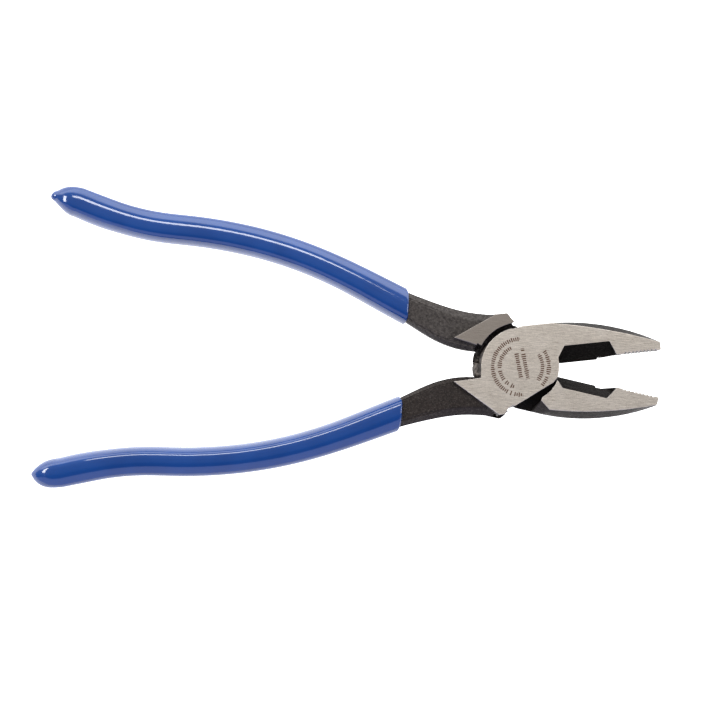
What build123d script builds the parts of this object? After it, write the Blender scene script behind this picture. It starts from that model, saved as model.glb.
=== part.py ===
"""Lineman pliers: two lap-joint forgings on a rivet, with plastic-dipped grips.

Row frame: +Z runs up the rivet, +X points between the jaws, and z = 0 is the underside of the head.
Lever frame: the row frame of one lever with the pliers shut. Its jaw is at +Y and its handle at -Y.
Its cheek is above the lap plane, and its shoulder, which the other lever's cheek turns in, is below.
"""

import os
from math import cos, radians, sin

from build123d import *

os.makedirs("parts", exist_ok=True)

# Head
HEAD_THICKNESS = 15.9  # between the two ground faces, 5/8 in
LAP = HEAD_THICKNESS / 2  # height of the lap plane, where the two cheeks meet
LAP_GAP = 0.08  # running clearance between the two cheeks
LAP_TOP = LAP + LAP_GAP / 2  # underside of a lever's own cheek
CHEEK_HEIGHT = HEAD_THICKNESS - LAP_TOP
REST_OPENING = 19.2  # degrees between the jaws at rest, counted from shut
SHUT_GAP = 0.06  # left between the two jaws when shut

# Cheek, and the shoulder that the other cheek turns in
CHEEK_RADIUS = 14.6  # at the ground face
CHEEK_FOOT_RADIUS = 15.8  # at the lap plane, because the forged wall leans out
CHEEK_START = 96.0  # degrees: the leaning wall runs round from the jaw's back to the chord
CHEEK_ARC = 174.0
CHEEK_NOSE_RADIUS = 14.4  # upright wall below the knife
SHOULDER_RADIUS = 16.6
HEEL_RADIUS = 14.65
HEEL_MIDDLE = (13.6, 5.0)
HEEL_END = (10.6, 9.1)
HEEL_OPENING = ((10.3, 10.7), (7.2, 16.2))  # the heel's wall turns outwards here
LOBE_RADIUS = 17.9  # foot of the cheek between the two handles
LOBE_START = 169.0  # degrees, clear of the other shoulder when shut
LOBE_ARC = 28.0
LOBE_SHELF = (0.6, 2.5)  # how far in and up the lobe's outer wall leans, below its long slope
LOBE_DROP = 0.6  # top of the lobe's slope, below the ground face
LOBE_CLEARANCE = 0.4
LOBE_POCKET_START = 150.0  # degrees
LOBE_POCKET_END = 195.5
CHEEK_FLAT = ((-6.4, -15.54), (11.6, -7.1), (13.4, -5.3))  # clears the other jaw's heel
HEEL_FACET_POINT = (12.2, 11.65, 0)
HEEL_FACET_ALONG = (0.821, 0.571, 0)
HEEL_FACET_NORMAL = (-0.404, 0.58, -0.707)
ROOT_STEP_RUN = 0.45  # of the slope from the ground face down to the shank
ROOT_STEP_DROP = 2.2

# Jaw
KNIFE_START = 14.4
KNIFE_END = 29.1
STEP_RUN = 0.6  # along the jaw, from the knife's end to the relief
RELIEF_RUN = 1.8
NOSE_START = 36.5
NOSE_END = 52.8
TIP_WIDTH = 3.2  # from the gripping face to the back
TIP_CORNER = 0.45
KNIFE_OFFSET = 0.15  # the knives meet this far below the axis
NOSE_OFFSET = 0.8  # the noses meet this far above the axis
UPPER_RELIEF = 0.4  # height of the relief behind each knife
LOWER_RELIEF = 0.8
BACK_START = (13.0, 15.2)  # of the long arc along the jaw's back
BACK_MIDDLE = (35.2, 11.4)
CHEEK_BACK = ((13.0, 15.0), (33.2, 10.1))  # the same two points at the ground faces
SHOULDER_BACK = ((13.0, 13.2), (33.2, 9.4))
CHEEK_TIP_INSET = 0.3
SHOULDER_TIP_INSET = 0.4
BACK_LEVEL_START = 2.5  # from here to its start the back runs level
BACK_BLEND = (-2.0, 14.3)  # inside the cheek
BACK_LEAN = 0.3  # how much of the nose's offset the middle of the back follows
CHEEK_BEVEL_DEPTH = 2.6
SHOULDER_BEVEL_DEPTH = 3.6
CHEEK_WINDOW_DEPTH = 6.2  # from the knife edge, at the ground face
SHOULDER_WINDOW_DEPTH = 3.9
WINDOW_CORNER = 0.8
WINDOW_ROOT_SHARE = 0.35  # of the depth, cut square at the window's inner end
WINDOW_ROOT_RUN = 2.6
WINDOW_NOSE_RUN = 2.5
KNIFE_LAND = 0.1  # half the flat left on the knife edge
TOOTH_PITCH = 1.4
TOOTH_DEPTH = 0.65
TOOTH_LAND = 0.1  # half the flat left between two teeth
TOOTH_COUNT = 9
FIRST_TOOTH = 39.5

# Ground root of the handle, on the shoulder side with its spur, and on the cheek's side
SPUR_CORNERS = [
    (-27.0, -4.6),
    (-13.3, -17.05),
    (-9.6, -18.35),
    (-9.1, -18.25),
    (-7.4, -16.8),
    (-6.0, -16.0),
    (-6.9, -14.9),
    (-3.0, -2.65),
]
ROOT_CORNERS = [
    (-25.9, -2.9),
    (-10.35, -16.95),
    (-9.7, -17.05),
    (-7.7, -16.85),
    (-5.9, -14.7),
    (-4.2, -13.9),
    (0, -10.0),
    (-13.9, 4.2),
    (-15.1, -2.6),
]

# Handle
MOUTH = (-45.7, -11.9, LAP)  # middle of the coat's open end
COAT_END = -182.0  # the tang stops here, inside the coat

# Rivet
RIVET_RADIUS = 4.8
RIVET_HEAD_RADIUS = 6.4
RIVET_HEAD_DEPTH = 2.2
RIVET_CLEARANCE = 0.05

# Handle stations from the joint to the end: centre x, centre y, width, thickness.
SHANK_STATIONS = [
    (-11.0, -9.5, 15.6, 12.8),
    (-20.0, -8.7, 14.2, 12.6),
    (-31.0, -8.9, 13.5, 12.0),
    (-41.0, -11.0, 11.4, 11.4),
    (-52.0, -13.8, 9.3, 10.4),
    (-66.0, -17.5, 8.4, 9.8),
    (-82.0, -20.9, 8.0, 9.4),
    (-98.0, -22.8, 7.9, 9.2),
    (-115.0, -23.1, 7.9, 9.0),
    (-131.0, -21.9, 7.9, 8.8),
    (-144.0, -20.3, 7.9, 8.7),
    (-157.0, -20.0, 7.8, 8.5),
    (-169.0, -20.9, 7.2, 7.8),
    (COAT_END, -22.0, 4.0, 5.0),
]
GRIP_STATIONS = [
    (-38.0, -10.2, 12.4, 13.4),
    (-52.0, -13.8, 12.2, 13.6),
    (-66.0, -17.5, 11.6, 13.4),
    (-82.0, -20.9, 11.2, 13.2),
    (-98.0, -22.8, 11.1, 13.2),
    (-115.0, -23.1, 11.1, 13.0),
    (-131.0, -21.9, 11.1, 12.8),
    (-144.0, -20.3, 11.1, 12.7),
    (-157.0, -20.0, 11.1, 12.6),
    (-167.0, -20.7, 11.1, 12.4),
    (-175.2, -21.7, 10.5, 11.6),
    (-181.1, -22.1, 8.0, 9.0),
    (-184.2, -22.1, 5.0, 5.8),
    (-185.5, -22.1, 2.4, 3.0),
]
SHANK_BEVELS = (0.13, 0.2, 0.17)  # inner and outer shares of the width, share of the thickness
GRIP_BEVELS = (0.25, 0.33, 0.24)

FAR = 60.0  # beyond every edge of the head


def polar(radius, degrees):
    """A point of the lever frame, by its distance and direction from the pivot."""
    return (radius * cos(radians(degrees)), radius * sin(radians(degrees)))


def upright_plane(degrees):
    """The plane through the pivot axis at this direction: X points outwards, and Y up."""
    outwards = polar(1, degrees)
    return Plane(origin=(0, 0, 0), x_dir=(*outwards, 0), z_dir=(outwards[1], -outwards[0], 0))


def flat_bar(stations, bevels):
    """A bar with bevelled corners, lofted through sections square to its centre line."""
    inner_share, outer_share, depth_share = bevels
    centre_line = Spline([(x, y, LAP) for x, y, _, _ in stations])
    with BuildPart() as bar:
        for x, y, width, thickness in stations:
            along = centre_line.tangent_at((x, y, LAP))
            outer = width / 2
            face = thickness / 2
            edge = face - thickness * depth_share
            with BuildSketch(Plane(origin=(x, y, LAP), x_dir=(0, 0, -1), z_dir=along)):
                with BuildLine():
                    Polyline(
                        (face, -outer + width * inner_share),
                        (face, outer - width * outer_share),
                        (edge, outer),
                        (-edge, outer),
                        (-face, outer - width * outer_share),
                        (-face, -outer + width * inner_share),
                        (-edge, -outer),
                        (edge, -outer),
                        close=True,
                    )
                make_face()
        loft()
    return bar.part


def jaw_outline(back_start, back_middle, back_end, knife_y, nose_y, relief_y):
    """The jaw in plan: knife, relief and nose along the bottom, one long arc for its back."""
    with BuildSketch() as outline:
        with BuildLine():
            Polyline(
                BACK_BLEND,
                (BACK_BLEND[0], knife_y),
                (KNIFE_END, knife_y),
                (KNIFE_END + STEP_RUN, relief_y),
                (KNIFE_END + STEP_RUN + RELIEF_RUN, relief_y),
                (NOSE_START, nose_y),
                (NOSE_END, nose_y),
                back_end,
            )
            ThreePointArc(back_end, back_middle, back_start)
            Polyline(back_start, (BACK_LEVEL_START, back_start[1]), BACK_BLEND)
        make_face()
        tip_corners = outline.vertices().group_by(Axis.X)[-1]
        fillet(tip_corners, radius=TIP_CORNER)
    return outline.sketch


def jaw(knife_y, nose_y, relief_y):
    """The jaw at full thickness, its back bevelled towards both ground faces."""
    below = (knife_y, nose_y, relief_y)
    tip_y = nose_y + TIP_WIDTH
    lean = BACK_LEAN * nose_y

    def outline(start, middle, tip_inset):
        back_middle = (middle[0], middle[1] + lean)
        return jaw_outline(start, back_middle, (NOSE_END, tip_y - tip_inset), *below)

    widest = outline(BACK_START, BACK_MIDDLE, 0)
    cheek_face = outline(*CHEEK_BACK, CHEEK_TIP_INSET)
    shoulder_face = outline(*SHOULDER_BACK, SHOULDER_TIP_INSET)
    cheek_bevel = Plane.XY.offset(HEAD_THICKNESS - CHEEK_BEVEL_DEPTH)
    shoulder_bevel = Plane.XY.offset(SHOULDER_BEVEL_DEPTH)
    with BuildPart() as body:
        with BuildSketch(shoulder_bevel):
            add(widest)
        extrude(amount=HEAD_THICKNESS - SHOULDER_BEVEL_DEPTH - CHEEK_BEVEL_DEPTH)
        with BuildSketch(Plane.XY):
            add(shoulder_face)
        with BuildSketch(shoulder_bevel):
            add(widest)
        loft(ruled=True)
        with BuildSketch(cheek_bevel):
            add(widest)
        with BuildSketch(Plane.XY.offset(HEAD_THICKNESS)):
            add(cheek_face)
        loft(ruled=True)
    return body.part


def window(depth, knife_y, side):
    """The wedge beside the knife, cut from the lap plane out to one ground face (side 1 or -1)."""
    floor_start = LAP + side * KNIFE_LAND
    face = LAP + side * (HEAD_THICKNESS / 2)
    beyond = face + side
    slope = depth / (face - floor_start)
    top_y = knife_y + slope * (beyond - floor_start)
    with BuildPart() as pocket:
        with BuildSketch(Plane.XY.offset(min(LAP, beyond))):
            with BuildLine():
                Polyline(
                    (KNIFE_START, -FAR),
                    (KNIFE_START, knife_y + WINDOW_ROOT_SHARE * depth),
                    (KNIFE_START + WINDOW_ROOT_RUN, knife_y + depth),
                    (NOSE_START - WINDOW_NOSE_RUN, knife_y + depth),
                    (NOSE_START, 0),
                    (NOSE_START, -FAR),
                    close=True,
                )
            rim = make_face()
            top_corners = rim.vertices().group_by(Axis.Y)[-1]
            fillet(top_corners, radius=WINDOW_CORNER)
        extrude(amount=abs(beyond - LAP))
        with BuildSketch(Plane.YZ):
            with BuildLine():
                Polyline(
                    (knife_y, floor_start),
                    (top_y, beyond),
                    (-FAR, beyond),
                    (-FAR, floor_start),
                    close=True,
                )
            make_face()
        extrude(amount=FAR, mode=Mode.INTERSECT)
    return pocket.part


def ground_root(corners, bottom, top, ground_z):
    """The thick root of a handle: its long edge steps down from the ground face to the shank."""
    with BuildPart() as root:
        with BuildSketch(Plane.XY.offset(bottom)):
            with BuildLine():
                Polyline(*corners, close=True)
            make_face()
        extrude(amount=top - bottom)
        ground_face = root.faces().filter_by_position(Axis.Z, ground_z, ground_z)[0]
        diagonal = ground_face.edges().sort_by(SortBy.LENGTH)[-1]
        chamfer(diagonal, length=ROOT_STEP_RUN, length2=ROOT_STEP_DROP, reference=ground_face)
    return root.part


def rivet_blank(clearance):
    """The rivet, or the hole for it: a shank with a countersunk head flush at each ground face."""
    with BuildPart() as blank:
        with BuildSketch(Plane.XZ):
            with BuildLine():
                Polyline(
                    (0, 0),
                    (RIVET_HEAD_RADIUS + clearance, 0),
                    (RIVET_RADIUS + clearance, RIVET_HEAD_DEPTH),
                    (RIVET_RADIUS + clearance, HEAD_THICKNESS - RIVET_HEAD_DEPTH),
                    (RIVET_HEAD_RADIUS + clearance, HEAD_THICKNESS),
                    (0, HEAD_THICKNESS),
                    close=True,
                )
            make_face()
        revolve(axis=Axis.Z)
    return blank.part


def lever(knife_y, nose_y, relief_y, rivet_hole_clearance):
    """One forging in the lever frame."""
    with BuildPart() as forging:
        # Full-thickness members: jaw and handle
        add(jaw(knife_y, nose_y, relief_y))
        add(flat_bar(SHANK_STATIONS, SHANK_BEVELS))

        # Ground root of the handle on the shoulder side, with the spur that guards the joint
        add(ground_root(SPUR_CORNERS, 0, LAP_TOP, 0))

        # The other cheek turns in this pocket: shoulder, heel, the heel's open end, and the lobe
        lobe_pocket = LOBE_RADIUS + LOBE_CLEARANCE
        pocket_middle = (LOBE_POCKET_START + LOBE_POCKET_END) / 2
        with BuildSketch(Plane.XY.offset(-1)):
            with BuildLine():
                heel_top = Line((0, HEEL_OPENING[-1][1]), (0, FAR))
                Polyline(heel_top @ 1, (-FAR, FAR), (-FAR, 0), (-SHOULDER_RADIUS, 0))
                ThreePointArc(
                    (-SHOULDER_RADIUS, 0), polar(SHOULDER_RADIUS, 225), (0, -SHOULDER_RADIUS)
                )
                Polyline((0, -SHOULDER_RADIUS), (0, -FAR), (HEEL_RADIUS, -FAR), (HEEL_RADIUS, 0))
                ThreePointArc((HEEL_RADIUS, 0), HEEL_MIDDLE, HEEL_END)
                Polyline(HEEL_END, *HEEL_OPENING, heel_top @ 0)
            make_face()
            with BuildLine():
                side = Line((0, 0), polar(lobe_pocket, LOBE_POCKET_START))
                pocket_wall = ThreePointArc(
                    side @ 1, polar(lobe_pocket, pocket_middle), polar(lobe_pocket, LOBE_POCKET_END)
                )
                Line(pocket_wall @ 1, (0, 0))
            make_face()
        extrude(amount=LAP_TOP + 1, mode=Mode.SUBTRACT)

        # The cheek: a forged wall that leans out, upright below the knife
        with BuildSketch(upright_plane(CHEEK_START)):
            with BuildLine():
                Polyline(
                    (0, LAP_TOP),
                    (CHEEK_FOOT_RADIUS, LAP_TOP),
                    (CHEEK_RADIUS, HEAD_THICKNESS),
                    (0, HEAD_THICKNESS),
                    close=True,
                )
            make_face()
        revolve(axis=Axis.Z, revolution_arc=CHEEK_ARC)
        with BuildSketch(Plane.XY.offset(LAP_TOP)):
            Circle(CHEEK_NOSE_RADIUS)
        extrude(amount=CHEEK_HEIGHT)

        # The cheek's lobe, which fills the crotch between the handles
        with BuildSketch(upright_plane(LOBE_START)):
            with BuildLine():
                Polyline(
                    (0, LAP_TOP),
                    (LOBE_RADIUS, LAP_TOP),
                    (LOBE_RADIUS - LOBE_SHELF[0], LAP_TOP + LOBE_SHELF[1]),
                    (CHEEK_RADIUS, HEAD_THICKNESS - LOBE_DROP),
                    (0, HEAD_THICKNESS - LOBE_DROP),
                    close=True,
                )
            make_face()
        revolve(axis=Axis.Z, revolution_arc=LOBE_ARC)

        # Ground root of the handle on the cheek's side
        add(ground_root(ROOT_CORNERS, LAP_TOP, HEAD_THICKNESS, HEAD_THICKNESS))

        # The flat that lets the other jaw's heel swing past the cheek
        with BuildSketch(Plane.XY.offset(LAP_TOP)):
            with BuildLine():
                Polyline(*CHEEK_FLAT, (FAR, CHEEK_FLAT[-1][1]), (FAR, -FAR))
                Polyline((FAR, -FAR), (CHEEK_FLAT[0][0], -FAR), CHEEK_FLAT[0])
            make_face()
        extrude(amount=HEAD_THICKNESS, mode=Mode.SUBTRACT)

        # Facet on the heel's outer corner
        facet = Plane(HEEL_FACET_POINT, x_dir=HEEL_FACET_ALONG, z_dir=HEEL_FACET_NORMAL)
        with BuildSketch(facet):
            Rectangle(FAR, FAR)
        extrude(amount=FAR, mode=Mode.SUBTRACT)

        # Windows beside the knife, teeth along the nose, and the rivet hole
        add(window(CHEEK_WINDOW_DEPTH, knife_y, 1), mode=Mode.SUBTRACT)
        add(window(SHOULDER_WINDOW_DEPTH, knife_y, -1), mode=Mode.SUBTRACT)
        half_notch = TOOTH_PITCH / 2 - TOOTH_LAND
        with BuildSketch(Plane.XY):
            for tooth in range(TOOTH_COUNT):
                root_x = FIRST_TOOTH + tooth * TOOTH_PITCH
                with BuildLine():
                    Polyline(
                        (root_x - half_notch, nose_y),
                        (root_x, nose_y + TOOTH_DEPTH),
                        (root_x + half_notch, nose_y),
                        close=True,
                    )
                make_face()
        extrude(amount=HEAD_THICKNESS, mode=Mode.SUBTRACT)
        add(rivet_blank(rivet_hole_clearance), mode=Mode.SUBTRACT)
    return forging.part


def coat():
    """The dipped coat over one tang, in the lever frame. Its mouth is upright at rest."""
    half_opening = radians(REST_OPENING / 2)
    mouth = Plane(origin=MOUTH, z_dir=(cos(half_opening), -sin(half_opening), 0))
    with BuildPart() as dipped:
        add(flat_bar(GRIP_STATIONS, GRIP_BEVELS))
        split(bisect_by=mouth, keep=Keep.BOTTOM)
        add(flat_bar(SHANK_STATIONS, SHANK_BEVELS), mode=Mode.SUBTRACT)
    return dipped.part


upper_jaw = (SHUT_GAP / 2 - KNIFE_OFFSET, SHUT_GAP / 2 + NOSE_OFFSET, UPPER_RELIEF)
lower_jaw = (SHUT_GAP / 2 + KNIFE_OFFSET, SHUT_GAP / 2 - NOSE_OFFSET, LOWER_RELIEF)

# At rest one lever is turned up by half the opening, and the other is turned over and down by it.
front_place = Location((0, 0, 0), (0, 0, REST_OPENING / 2))
rear_place = Location((0, 0, 0), (0, 0, -REST_OPENING / 2)) * Location(
    (0, 0, HEAD_THICKNESS), (180, 0, 0)
)

with BuildPart() as front_half:
    add(lever(*upper_jaw, 0).moved(front_place))

with BuildPart() as rear_half:
    add(lever(*lower_jaw, RIVET_CLEARANCE).moved(rear_place))

with BuildPart() as pivot_rivet:
    add(rivet_blank(0))

with BuildPart() as front_half_grip:
    add(coat().moved(front_place))

with BuildPart() as rear_half_grip:
    add(coat().moved(rear_place))

front_half.part.label = "front_half"
export_step(front_half.part, "parts/front_half.step")
rear_half.part.label = "rear_half"
export_step(rear_half.part, "parts/rear_half.step")
pivot_rivet.part.label = "pivot_rivet"
export_step(pivot_rivet.part, "parts/pivot_rivet.step")
front_half_grip.part.label = "front_half_grip"
export_step(front_half_grip.part, "parts/front_half_grip.step")
rear_half_grip.part.label = "rear_half_grip"
export_step(rear_half_grip.part, "parts/rear_half_grip.step")
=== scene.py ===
"""Lineman pliers: forged levers with ground faces, and plastic-dipped grips.

Metres, in the row frame: +Z runs up the rivet, +X points between the jaws, z = 0 is the underside.
The lever frame is one lever's own, with the pliers shut: its cheek is above the lap plane.
"""

from math import cos, pi, radians, sin

import bmesh
import bpy
import numpy as np
from mathutils import Matrix, Vector
from mathutils.bvhtree import BVHTree


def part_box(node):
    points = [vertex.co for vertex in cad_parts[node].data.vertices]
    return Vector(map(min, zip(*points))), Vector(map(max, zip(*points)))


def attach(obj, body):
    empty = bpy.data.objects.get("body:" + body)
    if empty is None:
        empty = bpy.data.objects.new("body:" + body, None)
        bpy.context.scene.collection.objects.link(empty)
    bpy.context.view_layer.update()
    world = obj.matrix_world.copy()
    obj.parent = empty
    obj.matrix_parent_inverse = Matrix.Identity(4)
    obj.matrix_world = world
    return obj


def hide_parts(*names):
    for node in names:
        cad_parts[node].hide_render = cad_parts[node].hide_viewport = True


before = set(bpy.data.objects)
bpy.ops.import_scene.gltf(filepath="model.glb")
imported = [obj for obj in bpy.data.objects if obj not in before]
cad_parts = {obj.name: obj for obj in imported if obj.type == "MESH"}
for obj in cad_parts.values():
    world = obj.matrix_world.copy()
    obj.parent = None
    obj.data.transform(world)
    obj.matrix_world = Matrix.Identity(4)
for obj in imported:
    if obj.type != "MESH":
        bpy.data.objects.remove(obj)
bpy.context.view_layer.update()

MM = 0.001
HEAD_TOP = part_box("pivot_rivet")[1].z
LAP = HEAD_TOP / 2
HALF_OPENING = radians(9.6)
HAIR = 0.01 * MM  # closer than this counts as touching


# ---------------------------------------------------------------- node helpers


class Nodes:
    """A short way to write a node tree: each call adds one node and returns its first output."""

    def __init__(self, tree):
        self.tree = tree
        tree.nodes.clear()

    def put(self, socket, value):
        if isinstance(value, bpy.types.NodeSocket):
            self.tree.links.new(value, socket)
        elif value is not None:
            socket.default_value = value

    def node(self, kind, inputs=None, **settings):
        made = self.tree.nodes.new(kind)
        for name, value in settings.items():
            setattr(made, name, value)
        for name, value in (inputs or {}).items():
            self.put(made.inputs[name], value)
        return made

    def math(self, operation, a, b=None, c=None):
        made = self.tree.nodes.new("ShaderNodeMath")
        made.operation = operation
        for socket, value in zip(made.inputs, (a, b, c)):
            self.put(socket, value)
        return made.outputs[0]

    def mix(self, factor, a, b):
        made = self.tree.nodes.new("ShaderNodeMix")
        made.data_type = "RGBA"
        self.put(made.inputs["Factor"], factor)
        self.put(made.inputs["A"], a)
        self.put(made.inputs["B"], b)
        return made.outputs["Result"]

    def noise(self, vector, detail, roughness):
        made = self.node(
            "ShaderNodeTexNoise",
            {"Vector": vector, "Scale": 1.0, "Detail": detail, "Roughness": roughness},
        )
        return made.outputs["Fac"]

    def remap(self, value, low, high, to_low=0.0, to_high=1.0, smooth=False):
        made = self.node(
            "ShaderNodeMapRange",
            {"From Min": low, "From Max": high, "To Min": to_low, "To Max": to_high},
            clamp=True,
            interpolation_type="SMOOTHSTEP" if smooth else "LINEAR",
        )
        self.put(made.inputs["Value"], value)
        return made.outputs["Result"]

    def place(self, rotation=0.0, scale=(1, 1, 1)):
        """Object coordinates in millimetres, turned about Z and stretched."""
        coordinates = self.node("ShaderNodeTexCoord").outputs["Object"]
        made = self.node(
            "ShaderNodeMapping",
            {"Rotation": (0, 0, rotation), "Scale": tuple(s / MM for s in scale)},
        )
        self.put(made.inputs["Vector"], coordinates)
        return made.outputs["Vector"]

    def bump(self, height, distance, strength):
        made = self.node("ShaderNodeBump", {"Strength": strength, "Distance": distance})
        self.put(made.inputs["Height"], height)
        return made.outputs["Normal"]

    def surface(self, **inputs):
        """The Principled shader and the output: underscores in a name stand for spaces."""
        made = self.node("ShaderNodeBsdfPrincipled")
        for name, value in inputs.items():
            self.put(made.inputs[name.replace("_", " ")], value)
        out = self.node("ShaderNodeOutputMaterial")
        self.tree.links.new(made.outputs[0], out.inputs["Surface"])


def material(name):
    made = bpy.data.materials.new(name)
    made.use_nodes = True
    return made, Nodes(made.node_tree)


def rgb(red, green, blue):
    """A display colour, 0 to 255, as linear light."""
    return tuple(
        (v / 255 / 12.92) if v <= 10 else ((v / 255 + 0.055) / 1.055) ** 2.4
        for v in (red, green, blue)
    ) + (1.0,)


# ---------------------------------------------------------------- materials

STROKE_PITCH = 0.78  # millimetres along a row
STROKE_HALF_WIDTH = 0.29  # part of the pitch
STROKE_HALF_HEIGHTS = (0.55, 0.88)  # millimetres
STROKE_EDGE = 0.08  # how softly a stroke fades out, in the units of its width and height
ROW_END_EDGE = 0.07
STROKES_LEFT_OUT = 0.09  # part of the strokes, so that the rows break up
# Radius in millimetres, middle and half spread in degrees, from the front of the jaws
STROKE_ARCS = ((10.4, 187.0, 92.0), (7.8, 188.0, 68.0), (10.6, 0.0, 38.0), (8.2, 2.0, 36.0))
# Sideways place, lift and half length in millimetres
STROKE_ROWS = ((1.9, 0.8, 5.8), (-0.6, 0.6, 4.8))
STROKE_ROW_LEAN = radians(104)
ARC_SEED_STEP, ROW_SEED, ROW_SEED_STEP, LEFT_OUT_SEED = 11.9, 200.0, 30.3, 77.7
GRAIN_TONES = (rgb(146, 137, 126), rgb(210, 201, 188))
STREAK_TONE = rgb(134, 125, 115)
CLOUD_TONE = rgb(198, 190, 180)
SPUR_TONE = rgb(112, 104, 96)
BURNT_TONE = rgb(62, 30, 4)
LOOSE_SCALE_TONE = rgb(92, 85, 79)
VINYL_TONES = ((0.0018, 0.0258, 0.121, 1), (0.0026, 0.031, 0.139, 1))


def etched_marks(n):
    """Rows of short plain strokes burnt in round the pivot: four arcs and two straight rows."""
    point = n.node("ShaderNodeSeparateXYZ", {"Vector": n.place()})
    x, y = point.outputs["X"], point.outputs["Y"]
    radius = n.math("SQRT", n.math("ADD", n.math("MULTIPLY", x, x), n.math("MULTIPLY", y, y)))
    angle = n.math("ARCTAN2", y, x)

    def inside(value, half_width, edge):
        return n.remap(n.math("ABSOLUTE", value), half_width - edge, half_width + edge, 1.0, 0.0)

    def chance(cell, seed):
        drawn = {"W": n.math("ADD", cell, seed)}
        return n.node("ShaderNodeTexWhiteNoise", drawn, noise_dimensions="1D").outputs["Value"]

    def strokes(along, across, half_length, seed):
        """One row: along and across are millimetres from the row's middle."""
        steps = n.math("DIVIDE", along, STROKE_PITCH)
        cell = n.math("FLOOR", steps)
        in_cell = n.math("SUBTRACT", n.math("SUBTRACT", steps, cell), 0.5)
        bar = inside(in_cell, STROKE_HALF_WIDTH, STROKE_EDGE)
        height = n.remap(chance(cell, seed), 0.0, 1.0, *STROKE_HALF_HEIGHTS)
        off = n.math("ABSOLUTE", across)
        tall = n.remap(n.math("SUBTRACT", height, off), -STROKE_EDGE, STROKE_EDGE)
        kept = n.math("GREATER_THAN", chance(cell, seed + LEFT_OUT_SEED), STROKES_LEFT_OUT)
        row = n.math("MULTIPLY", n.math("MULTIPLY", bar, tall), kept)
        return n.math("MULTIPLY", row, inside(along, half_length, ROW_END_EDGE))

    rows = []
    for seed, (middle, centre, spread) in enumerate(STROKE_ARCS):
        turned = n.math("SUBTRACT", angle, radians(centre))
        turned = n.math("WRAP", turned, pi, -pi)
        along = n.math("MULTIPLY", turned, middle)
        across = n.math("SUBTRACT", radius, middle)
        rows.append(strokes(along, across, radians(spread) * middle, ARC_SEED_STEP * seed))
    lean_cos, lean_sin = cos(STROKE_ROW_LEAN), sin(STROKE_ROW_LEAN)
    for seed, (offset, lift, half_length) in enumerate(STROKE_ROWS):
        along = n.math("ADD", n.math("MULTIPLY", x, lean_cos), n.math("MULTIPLY", y, lean_sin))
        across = n.math("SUBTRACT", n.math("MULTIPLY", x, lean_sin), n.math("MULTIPLY", y, lean_cos))
        along = n.math("SUBTRACT", along, lift)
        across = n.math("SUBTRACT", across, offset)
        rows.append(strokes(along, across, half_length, ROW_SEED + ROW_SEED_STEP * seed))
    marks = rows[0]
    for row in rows[1:]:
        marks = n.math("MAXIMUM", marks, row)
    return marks


def ground_steel(name, direction, marked=False):
    """Surface-ground steel: grain along the lever and faint stains, darker on the rear spur.

    Marked is the front cheek's finish, with the etched strokes and without the darker spur."""
    made, n = material(name)
    streaks = n.noise(n.place(direction, (0.3, 3.4, 3.4)), 4.0, 0.65)
    long_streaks = n.noise(n.place(direction, (0.05, 2.2, 2.2)), 3.0, 0.5)
    grit = n.noise(n.place(0, (2.4, 2.4, 2.4)), 4.0, 0.75)
    cloud = n.noise(n.place(0, (0.12, 0.12, 0.12)), 3.0, 0.5)
    grain = n.math("ADD", n.math("MULTIPLY", streaks, 0.6), n.math("MULTIPLY", grit, 0.4))
    tone = n.mix(n.remap(grain, 0.38, 0.62), *GRAIN_TONES)
    tone = n.mix(n.remap(long_streaks, 0.4, 0.75, 0.0, 0.35), tone, STREAK_TONE)
    tone = n.mix(n.remap(cloud, 0.45, 0.7, 0.0, 0.3), tone, CLOUD_TONE)
    if not marked:
        reach = n.node("ShaderNodeSeparateXYZ", {"Vector": n.place()}).outputs["X"]
        tone = n.mix(n.remap(reach, 0.0, 9.0, 0.8, 0.0), tone, SPUR_TONE)
    roughness = n.remap(grain, 0.3, 0.7, 0.5, 0.36)
    if marked:
        marks = n.math("MULTIPLY", etched_marks(n), n.remap(grit, 0.3, 0.55, 0.75, 1.0))
        tone = n.mix(marks, tone, BURNT_TONE)
        roughness = n.math("ADD", roughness, n.math("MULTIPLY", marks, 0.2))
    normal = n.bump(grain, 0.00004, 0.5)
    n.surface(Base_Color=tone, Metallic=1.0, Roughness=roughness, Normal=normal)
    return made


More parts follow.
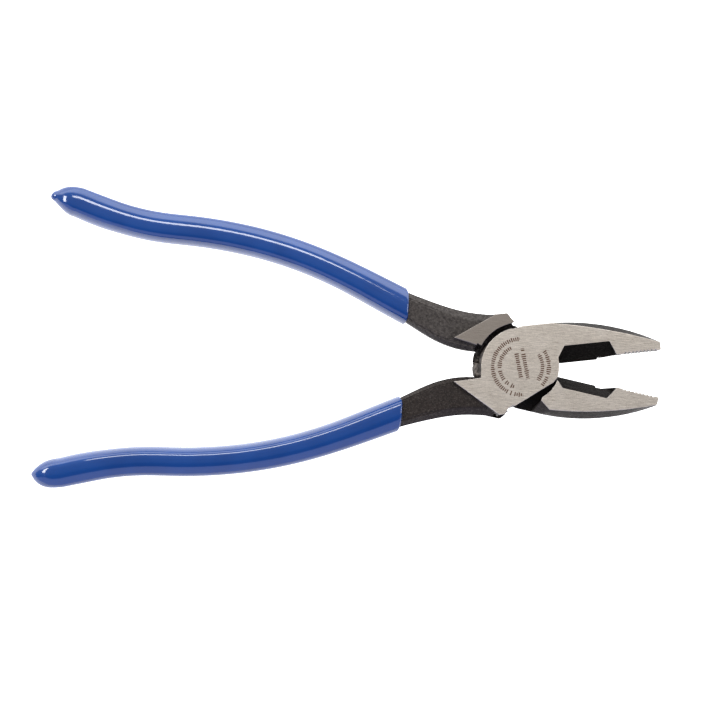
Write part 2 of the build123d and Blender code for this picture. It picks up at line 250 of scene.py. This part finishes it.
def black_oxide(name, low, high, shank, shine):
    """A forged skin blackened in the bath: pitted, mottled, and lighter on the shank, partly wear and,
    with the rear lever's tones, painted light.

    The lobe is the round edge of the joint at the crotch, which keeps rough lighter scale."""
    made, n = material(name)
    skin = n.noise(n.place(0, (1.1, 1.1, 1.1)), 5.0, 0.65)
    mottle = n.noise(n.place(0, (0.22, 0.22, 0.22)), 3.0, 0.5)
    pits = n.noise(n.place(0, (2.0, 2.0, 2.0)), 3.0, 0.65)
    scale = n.noise(n.place(0, (0.75, 0.75, 0.3)), 4.0, 0.6)
    reach = n.node("ShaderNodeSeparateXYZ", {"Vector": n.place()}).outputs["X"]
    across = n.node("ShaderNodeVectorMath", {0: n.place(0, (1, 1, 0))}, operation="LENGTH")
    from_pivot = across.outputs["Value"]
    lobe = n.math("MULTIPLY", n.remap(from_pivot, 20.5, 18.5), n.remap(reach, -10.0, -13.0))
    tone = n.mix(n.remap(skin, 0.38, 0.64), low, high)
    tone = n.mix(n.remap(mottle, 0.4, 0.7, 0.0, 0.5), tone, low)
    # Lighter towards the shank: wear, and with the rear lever's shank tone also painted light.
    worn_and_lit = n.math("MULTIPLY", n.remap(reach, 2.0, -6.0), n.remap(skin, 0.36, 0.64, 0.2, 1.0))
    tone = n.mix(worn_and_lit, tone, shank)
    flakes = n.math("MULTIPLY", lobe, n.remap(scale, 0.5, 0.62, 0.0, 0.9))
    tone = n.mix(flakes, tone, LOOSE_SCALE_TONE)
    speckle = n.math("MULTIPLY", n.remap(pits, 0.52, 0.68), n.remap(reach, 10.0, -6.0, 0.0, 0.32))
    tone = n.mix(speckle, tone, LOOSE_SCALE_TONE)
    roughness = n.remap(skin, 0.3, 0.7, 0.56, 0.42)
    height = n.math("ADD", skin, n.math("MULTIPLY", pits, 0.7))
    height = n.math("ADD", height, n.math("MULTIPLY", n.math("MULTIPLY", scale, lobe), 5.0))
    normal = n.bump(height, 0.0003, 0.7)
    n.surface(
        Base_Color=tone,
        Metallic=0.15,
        Roughness=roughness,
        Normal=normal,
        Specular_IOR_Level=shine,
        Specular_Tint=(1.0, 0.94, 0.88, 1),
    )
    return made


def dipped_vinyl(name):
    """Glossy blue dip: an even colour with slow waves left as it drained and set."""
    made, n = material(name)
    waves = n.noise(n.place(0, (0.09, 0.09, 0.09)), 2.0, 0.4)
    ripple = n.noise(n.place(0, (0.5, 0.5, 0.5)), 2.0, 0.4)
    dust = n.noise(n.place(0, (2.5, 2.5, 2.5)), 3.0, 0.6)
    tone = n.mix(n.remap(waves, 0.35, 0.65), *VINYL_TONES)
    roughness = n.remap(dust, 0.4, 0.75, 0.07, 0.16)
    height = n.math("ADD", n.math("MULTIPLY", waves, 2.0), n.math("MULTIPLY", ripple, 0.25))
    normal = n.bump(height, 0.0002, 0.35)
    n.surface(Base_Color=tone, Roughness=roughness, Normal=normal, IOR=1.5)
    return made


# ---------------------------------------------------------------- levers

RIVET_ZONE = 0.008
JOINT_ZONE = 0.02
GROUND_EDGE = 0.0001
FORGED_EDGE = 0.00042
SHORTEST_FORGED_EDGE = 1.2 * MM
SAME_PLANE = radians(0.7)
SHARP = radians(24)
SHADING_BREAK = radians(38)
LAP_EDGE_START = 0.003
LAP_EDGE_BAND = 0.0004
WINDOW_REACH = (0.013, 0.0365)
GROUND, FORGED, WINDOW = 0, 1, 2  # material slots; the window slot is black oxide painted darker, as shade in the knife's recess


def on_lap_edge(vert):
    """Edges at the lap plane on the jaw side stay sharp: there the levers nearly touch when shut."""
    return vert.co.x > LAP_EDGE_START and abs(vert.co.z - LAP) < LAP_EDGE_BAND


def on_ground_face(face):
    level = face.calc_center_median().z
    flat = abs(face.normal.z) > 0.999
    return flat and (level < HAIR or level > HEAD_TOP - HAIR)


def in_window(face):
    """The faces round the knife, which look across the gap at the other jaw, and are painted darker as
    shade.
    """
    spot = face.calc_center_median()
    return WINDOW_REACH[0] < spot.x < WINDOW_REACH[1] and spot.y * face.normal.y < 0


def settle(bm, shell, reach):
    """Bring back onto the shape any corner that a bevel has thrown off it.

    In the joint, where the levers nearly touch, nothing may stand proud of the shape at all."""
    for vert in bm.verts:
        spot, normal, _, away = shell.find_nearest(vert.co)
        proud = (vert.co - spot).dot(normal) > HAIR
        if away > reach or (proud and vert.co.xy.length < JOINT_ZONE):
            vert.co = spot


def softened_lever(name, node, body, finishes):
    """The lever's own CAD shape with its edges broken, as grinding and forging leave them."""
    bm = bmesh.new()
    bm.from_mesh(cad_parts[node].data)
    bmesh.ops.remove_doubles(bm, verts=bm.verts, dist=1e-6)
    shell = BVHTree.FromBMesh(bm)
    bmesh.ops.dissolve_limit(bm, angle_limit=SAME_PLANE, verts=bm.verts, edges=bm.edges)
    bm.normal_update()
    # The window slot holds painted shade: the faces round the knife are painted darker than the rest
    # of the skin.
    for face in bm.faces:
        face.material_index = GROUND if on_ground_face(face) else WINDOW if in_window(face) else FORGED

    rims = [
        e
        for e in bm.edges
        if e.calc_face_angle(0) > SHARP
        and any(f.material_index == GROUND for f in e.link_faces)
        and e.verts[0].co.xy.length > RIVET_ZONE
    ]
    how = {"affect": "EDGES", "clamp_overlap": False}
    bmesh.ops.bevel(bm, geom=rims, offset=GROUND_EDGE, segments=1, material=GROUND, **how)
    settle(bm, shell, 1.5 * GROUND_EDGE)
    bm.normal_update()
    rims = []
    for edge in bm.edges:
        ends_ground = any(f.material_index == GROUND for v in edge.verts for f in v.link_faces)
        if ends_ground or any(on_lap_edge(v) for v in edge.verts):
            continue
        if edge.calc_length() > SHORTEST_FORGED_EDGE and edge.calc_face_angle(0) > SHARP:
            rims.append(edge)
    bmesh.ops.bevel(bm, geom=rims, offset=FORGED_EDGE, segments=2, material=FORGED, **how)
    settle(bm, shell, 1.2 * FORGED_EDGE)
    bm.normal_update()
    for edge in bm.edges:
        edge.smooth = edge.calc_face_angle(0) < SHADING_BREAK
    for face in bm.faces:
        face.smooth = True
    mesh = bpy.data.meshes.new(name)
    bm.to_mesh(mesh)
    bm.free()
    piece = bpy.data.objects.new(name, mesh)
    bpy.context.scene.collection.objects.link(piece)
    for finish in finishes:
        piece.data.materials.append(finish)
    weighted = piece.modifiers.new("even_shading", "WEIGHTED_NORMAL")
    weighted.keep_sharp = True
    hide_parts(node)
    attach(piece, body)


# ---------------------------------------------------------------- grips

# How far along the tip each of its sections is, from 0 to 1
TIP_STEPS = (0.06, 0.13, 0.2, 0.28, 0.36, 0.44, 0.52, 0.6, 0.67, 0.74, 0.8)
TIP_STEPS += (0.84, 0.87, 0.9, 0.93, 0.955, 0.975, 0.99, 0.998)
# Centre x, centre y, width and thickness in millimetres, from the open end to the tip.
GRIP_STATIONS = (
    (-38.0, -10.2, 12.4, 13.4),
    (-52.0, -13.8, 12.2, 13.6),
    (-66.0, -17.5, 11.6, 13.4),
    (-82.0, -20.9, 11.2, 13.2),
    (-98.0, -22.8, 11.1, 13.2),
    (-115.0, -23.1, 11.1, 13.0),
    (-131.0, -21.9, 11.1, 12.8),
    (-144.0, -20.3, 11.1, 12.7),
    (-157.0, -20.0, 11.1, 12.6),
    (-167.0, -20.7, 11.1, 12.4),
    (-175.2, -21.7, 10.5, 11.6),
)
MOUTH_X = -45.7
OUTER_FACET = 0.66  # widths and depths as parts of half the section
FACET_DEPTH = 0.48
INNER_ROUND = 0.66
INNER_POWER = 1.35
CORNER_REACH = 0.29
SWELL_START = -158.0
MOUTH_LEAN_LENGTH = 14.0
BAR_START, BAR_RINGS = 5.5, 62  # millimetres behind the lip, and the sections from there on
CORNER_STEPS, INNER_STEPS = 7, 19  # points round a corner and round the inner side
# The rolled lip at the mouth, from the bore outwards: shrink, beyond and bow, as ring() takes them
LIP = ((1.75, -2.5, 0.2), (1.5, -0.9, 0.3), (1.25, -0.3, 0.4), (0.95, -0.06, 0.6), (0.62, 0.0, 0.6))
LIP += ((0.34, -0.08, 0.6), (0.13, -0.3, 0.5), (0.03, -0.62, 0.4), (0.0, -1.0, 0.25))
# How far back from the lip, and the bow that is left there
BEHIND_LIP = ((1.6, 0.18), (2.6, 0.1), (3.9, 0.03))
BOW_POWER = 6
INNER_BOW, OUTER_BOW = 2.6, 1.4
DEPTH_POWER = 2.6
TIP_ROUNDING = 1.3  # how fast the section turns oval along the tip


def natural_spline(xs, ys):
    """Second derivatives of the smooth curve through the points, for spline_at."""
    count = len(xs)
    matrix, right = np.eye(count), np.zeros(count)
    for i in range(1, count - 1):
        before, after = xs[i] - xs[i - 1], xs[i + 1] - xs[i]
        matrix[i, i - 1 : i + 2] = before, 2 * (before + after), after
        right[i] = 6 * ((ys[i + 1] - ys[i]) / after - (ys[i] - ys[i - 1]) / before)
    return np.linalg.solve(matrix, right)


def spline_at(xs, ys, bend, x):
    i = int(np.clip(np.searchsorted(xs, x) - 1, 0, len(xs) - 2))
    step = xs[i + 1] - xs[i]
    a, b = (xs[i + 1] - x) / step, (x - xs[i]) / step
    curve = ((a**3 - a) * bend[i] + (b**3 - b) * bend[i + 1]) * step**2 / 6
    return a * ys[i] + b * ys[i + 1] + curve


def grip_profile(roundness):
    """The grip's section, as (across, up) from -1 to 1: facets outside, a round back inside.

    Across is positive on the outer side. Roundness 0 is the bar, and 1 is an oval."""
    corners = [np.array(c) for c in ((1 - OUTER_FACET, 1.0), (1.0, 1 - FACET_DEPTH))]
    corners += [np.array((c[0], -c[1])) for c in corners[::-1]]
    inner_edge = np.array((INNER_ROUND - 1, 1.0))
    stops = [inner_edge, *corners, inner_edge * (1, -1)]
    points = []
    for before, corner, after in zip(stops, stops[1:], stops[2:]):
        start = corner + (before - corner) * CORNER_REACH / np.linalg.norm(before - corner)
        end = corner + (after - corner) * CORNER_REACH / np.linalg.norm(after - corner)
        for t in np.linspace(0.0, 1.0, CORNER_STEPS):
            points.append((1 - t) ** 2 * start + 2 * t * (1 - t) * corner + t**2 * end)
    for turn in np.linspace(0.0, 1.0, INNER_STEPS):
        angle = pi / 2 + turn * pi
        side = -abs(cos(angle))
        lift = np.sign(sin(angle)) * abs(sin(angle)) ** INNER_POWER
        points.append(np.array((inner_edge[0] + INNER_ROUND * side, -lift)))
    ring = np.array(points)
    oval = np.array([p / np.linalg.norm(p) for p in ring])
    return ring * (1 - roundness) + oval * roundness


def dipped_grip(name, node, body, place, finish, shape):
    """One dipped grip: swept bar, rolled lip at the mouth, pointed tip with its drip nub."""
    stations = np.array(GRIP_STATIONS)[::-1]
    xs = stations[:, 0]
    fits = [(stations[:, k], natural_spline(xs, stations[:, k])) for k in (1, 2, 3)]
    drift_start, drift = shape["drift"]
    swell, fullness = shape["swell"], shape["fullness"]

    def station(x):
        y, width, thickness = [spline_at(xs, values, bend, x) for values, bend in fits]
        grown = swell * np.clip((SWELL_START - x) / (SWELL_START - xs[0]), 0, 1)
        return y + drift * max(0.0, drift_start - x) ** 2, width + grown, thickness

    mouth_normal = np.array((cos(HALF_OPENING), -sin(HALF_OPENING)))
    mouth_across = np.array((sin(HALF_OPENING), cos(HALF_OPENING)))
    rings = []

    def ring(x, shrink=0.0, beyond=0.0, bow=0.0):
        """One section. Shrink is taken off all round, and beyond shifts it out of the mouth.

        Bow draws its corners back, so that the mouth's rim is curved."""
        y, width, thickness = station(x)
        slope = station(x + 0.5)[0] - station(x - 0.5)[0]
        tangent = np.array((1.0, slope)) / np.hypot(1.0, slope)
        across = np.array((-tangent[1], tangent[0]))
        lean = np.clip(1 - (MOUTH_X - x) / MOUTH_LEAN_LENGTH, 0, 1)
        lean = lean * lean * (3 - 2 * lean)
        slanted = mouth_across / (mouth_across @ across)
        across = across * (1 - lean) + slanted * lean
        points = []
        for u, v in grip_profile(0.0):
            corner = bow * abs(u) ** BOW_POWER * (INNER_BOW if u < 0 else OUTER_BOW)
            forward = tangent * (beyond - corner) / (tangent @ mouth_normal)
            half_width = width / 2 - shrink + (fullness if u < 0 else 0.0)
            flat = np.array((x, y)) + forward - across * u * half_width
            points.append((flat[0], flat[1], LAP / MM + v * (thickness / 2 - shrink)))
        rings.append(points)

    for shrink, beyond, bow in LIP:
        ring(MOUTH_X, shrink, beyond, bow)
    for back, bow in BEHIND_LIP:
        ring(MOUTH_X - back, bow=bow)
    for x in np.linspace(MOUTH_X - BAR_START, xs[0], BAR_RINGS):
        ring(x)

    # The pointed tip, then the nub where the last of the dip ran off
    tip_x, tip_y = shape["tip"]
    start_y, start_width, start_depth = station(xs[0])
    start_slope = station(xs[0] + 0.5)[0] - station(xs[0] - 0.5)[0]
    inner_power, outer_power = shape["powers"]
    blunt = shape["blunt"]
    nub_start, inner_nub, outer_nub = shape["nub"]
    for part in TIP_STEPS:
        x = xs[0] + (tip_x - xs[0]) * part
        over = max(0.0, (part - nub_start) / (1 - nub_start))
        nub = max(0.0, 1 - over**2) ** 0.5
        inner = start_y + start_width / 2 + fullness - tip_y
        outer = tip_y - start_y + start_width / 2
        inner = max(inner * (1 - part**inner_power) ** blunt, inner_nub * nub)
        outer = max(outer * (1 - part**outer_power) ** blunt, outer_nub * nub)
        depth = max(start_depth / 2 * (1 - part**DEPTH_POWER) ** blunt, outer_nub * nub)
        tilt = start_slope * (1 - part) ** 2
        middle, half_width = tip_y + (inner - outer) / 2, (inner + outer) / 2
        points = []
        for u, v in grip_profile(min(1.0, TIP_ROUNDING * part)):
            points.append((x + tilt * u * half_width, middle - u * half_width, LAP / MM + v * depth))
        rings.append(points)

    mesh = bpy.data.meshes.new(name)
    count = len(rings[0])
    verts = [p for r in rings for p in r]
    faces = []
    for i in range(len(rings) - 1):
        for j in range(count):
            k = (j + 1) % count
            faces.append((i * count + j, i * count + k, (i + 1) * count + k, (i + 1) * count + j))
    faces.append(tuple(range(count))[::-1])
    last = (len(rings) - 1) * count
    faces.append(tuple(last + j for j in range(count)))
    mesh.from_pydata([tuple(c * MM for c in v) for v in verts], [], faces)
    mesh.transform(place)
    bm = bmesh.new()
    bm.from_mesh(mesh)
    bmesh.ops.recalc_face_normals(bm, faces=bm.faces)
    bm.to_mesh(mesh)
    bm.free()
    for face in mesh.polygons:
        face.use_smooth = True
    mesh.materials.append(finish)
    piece = bpy.data.objects.new(name, mesh)
    bpy.context.scene.collection.objects.link(piece)
    smooth = piece.modifiers.new("even_dip", "SUBSURF")
    smooth.levels = smooth.render_levels = 1
    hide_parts(node)
    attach(piece, body)


# ---------------------------------------------------------------- assembly

front_place = Matrix.Rotation(HALF_OPENING, 4, "Z")
rear_place = (
    Matrix.Rotation(-HALF_OPENING, 4, "Z")
    @ Matrix.Translation((0, 0, HEAD_TOP))
    @ Matrix.Rotation(pi, 4, "X")
)

front_ground = ground_steel("ground_steel_front", -HALF_OPENING, marked=True)
rear_ground = ground_steel("ground_steel_rear", HALF_OPENING)
front_tones = (rgb(12, 9, 7), rgb(24, 20, 17), rgb(31, 25, 22))
# Painted light: the rear lever lies on the side of the key, so its tones are painted lighter than the
# front's, its shank most of all.
rear_lit_tones = (rgb(13, 10, 8), rgb(27, 22, 19), rgb(57, 53, 50))
# Painted shade: the window faces, deep in the gap between the jaws, take a darker copy of the black
# oxide with almost no shine.
window_shade_tones = (rgb(6, 4, 3), rgb(12, 9, 8), rgb(24, 20, 17))
SKIN_SHINE, WINDOW_SHINE = 0.17, 0.03
front_forged = black_oxide("black_oxide_front", *front_tones, shine=SKIN_SHINE)
rear_forged = black_oxide("black_oxide_rear", *rear_lit_tones, shine=SKIN_SHINE)
window_shade_finish = black_oxide("black_oxide_window_painted_shade", *window_shade_tones, shine=WINDOW_SHINE)
vinyl = dipped_vinyl("dipped_vinyl")

front_finishes = (front_ground, front_forged, window_shade_finish)
rear_finishes = (rear_ground, rear_forged, window_shade_finish)
softened_lever("front_lever_steel", "front_half", "front_lever", front_finishes)
softened_lever("rear_lever_steel", "rear_half", "rear_lever", rear_finishes)
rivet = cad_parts["pivot_rivet"]
rivet.data.materials.clear()
rivet.data.materials.append(front_ground)
# Drift: where the bar starts to leave the shared curve, and how fast, per square millimetre.
# Nub: where it starts along the tip, and its inner and outer half widths in millimetres.
front_shape = {
    "drift": (-143.0, 0.0003),
    "swell": 0.8,
    "fullness": 0.0,
    "tip": (-186.4, -20.9),
    "powers": (2.3, 3.6),
    "blunt": 0.78,
    "nub": (0.9, 0.9, 1.0),
}
rear_shape = {
    "drift": (-125.0, -0.00034),
    "swell": 0.6,
    "fullness": 0.35,
    "tip": (-186.1, -22.4),
    "powers": (1.8, 3.0),
    "blunt": 1.0,
    "nub": (0.78, 1.7, 2.5),
}
dipped_grip("front_grip_dip", "front_half_grip", "front_lever", front_place, vinyl, front_shape)
dipped_grip("rear_grip_dip", "rear_half_grip", "rear_lever", rear_place, vinyl, rear_shape)

# ---------------------------------------------------------------- floor, light, camera

FLOOR_HALF = 6.0
FLOOR_DROP = 0.05 * MM
floor_mesh = bpy.data.meshes.new("floor")
floor_corners = [(x * FLOOR_HALF, y * FLOOR_HALF, 0) for x, y in ((-1, -1), (1, -1), (1, 1), (-1, 1))]
floor_mesh.from_pydata(floor_corners, [], [(0, 1, 2, 3)])
floor = bpy.data.objects.new("floor", floor_mesh)
floor.location = (0, 0, -FLOOR_DROP)
bpy.context.scene.collection.objects.link(floor)
floor_paint, n = material("floor_paint")
n.surface(
    Base_Color=(0.5, 0.5, 0.5, 1),
    Roughness=0.9,
    Specular_IOR_Level=0.0,
    Emission_Color=(1, 1, 1, 1),
    Emission_Strength=1.7,
)
floor_mesh.materials.append(floor_paint)

# A dim ceiling, a bright wall beyond the far grip and a cooler one on the near side
world = bpy.data.worlds.new("studio")
bpy.context.scene.world = world
world.use_nodes = True
n = Nodes(world.node_tree)
sky = n.node("ShaderNodeTexCoord").outputs["Generated"]
direction = n.node("ShaderNodeSeparateXYZ", {"Vector": sky})
up, depth = direction.outputs["Z"], direction.outputs["Y"]
far_height = n.remap(up, 0.22, 0.5, 1.0, 0.0, smooth=True)
far_wall = n.math("MULTIPLY", far_height, n.remap(depth, 0.25, 0.6, 0.0, 3.6, smooth=True))
near_height = n.remap(up, 0.6, 0.75, 1.0, 0.0, smooth=True)
near_wall = n.math("MULTIPLY", near_height, n.remap(depth, -0.2, -0.5, 0.0, 1.2))
ceiling = n.remap(depth, -0.3, 0.3, 0.2, 0.75, smooth=True)
glow = n.math("ADD", ceiling, n.math("ADD", far_wall, near_wall))
far_tint = n.mix(n.remap(depth, 0.2, 0.5), (1, 1, 1, 1), (0.97, 1.02, 1.12, 1))
tint = n.mix(n.remap(depth, -0.5, -0.2, 1.0, 0.0), far_tint, (0.93, 0.98, 1.45, 1))
background = n.node("ShaderNodeBackground", {"Color": tint, "Strength": glow})
out = n.node("ShaderNodeOutputWorld")
world.node_tree.links.new(background.outputs[0], out.inputs["Surface"])


def softbox(name, position, target, size, power):
    light = bpy.data.lights.new(name, "AREA")
    light.shape = "RECTANGLE"
    light.size, light.size_y = size
    light.energy = power
    made = bpy.data.objects.new(name, light)
    made.location = position
    made.rotation_mode = "QUATERNION"
    made.rotation_quaternion = (Vector(target) - Vector(position)).to_track_quat("-Z", "Y")
    bpy.context.scene.collection.objects.link(made)


middle = (-0.06, 0.0, LAP)
softbox("key_strip", (-0.14, 0.68, 0.98), middle, (0.6, 0.32), 9.6)
softbox("tip_light", (-1.15, 0.25, 0.8), middle, (0.55, 0.3), 10.5)
softbox("mouth_light", (1.1, 0.1, 0.7), middle, (0.3, 0.5), 6.0)

VIEW_ROLL = radians(3.64)
VIEW_TILT = radians(1.5)
AIM = Vector((-0.0599, -0.00107, LAP))
DISTANCE = 1.2
VIEW_WIDTH = 0.2702
SENSOR_WIDTH = 36.0
camera_data = bpy.data.cameras.new("camera")
camera_data.sensor_width = SENSOR_WIDTH
camera_data.lens = SENSOR_WIDTH * DISTANCE / VIEW_WIDTH
camera = bpy.data.objects.new("camera", camera_data)
turned = Matrix.Rotation(VIEW_ROLL, 3, "Z") @ Matrix.Rotation(VIEW_TILT, 3, "X")
camera.location = AIM + turned @ Vector((0, 0, DISTANCE))
camera.rotation_euler = turned.to_euler()
bpy.context.scene.collection.objects.link(camera)
bpy.context.scene.camera = camera
bpy.context.scene.view_settings.view_transform = "Standard"
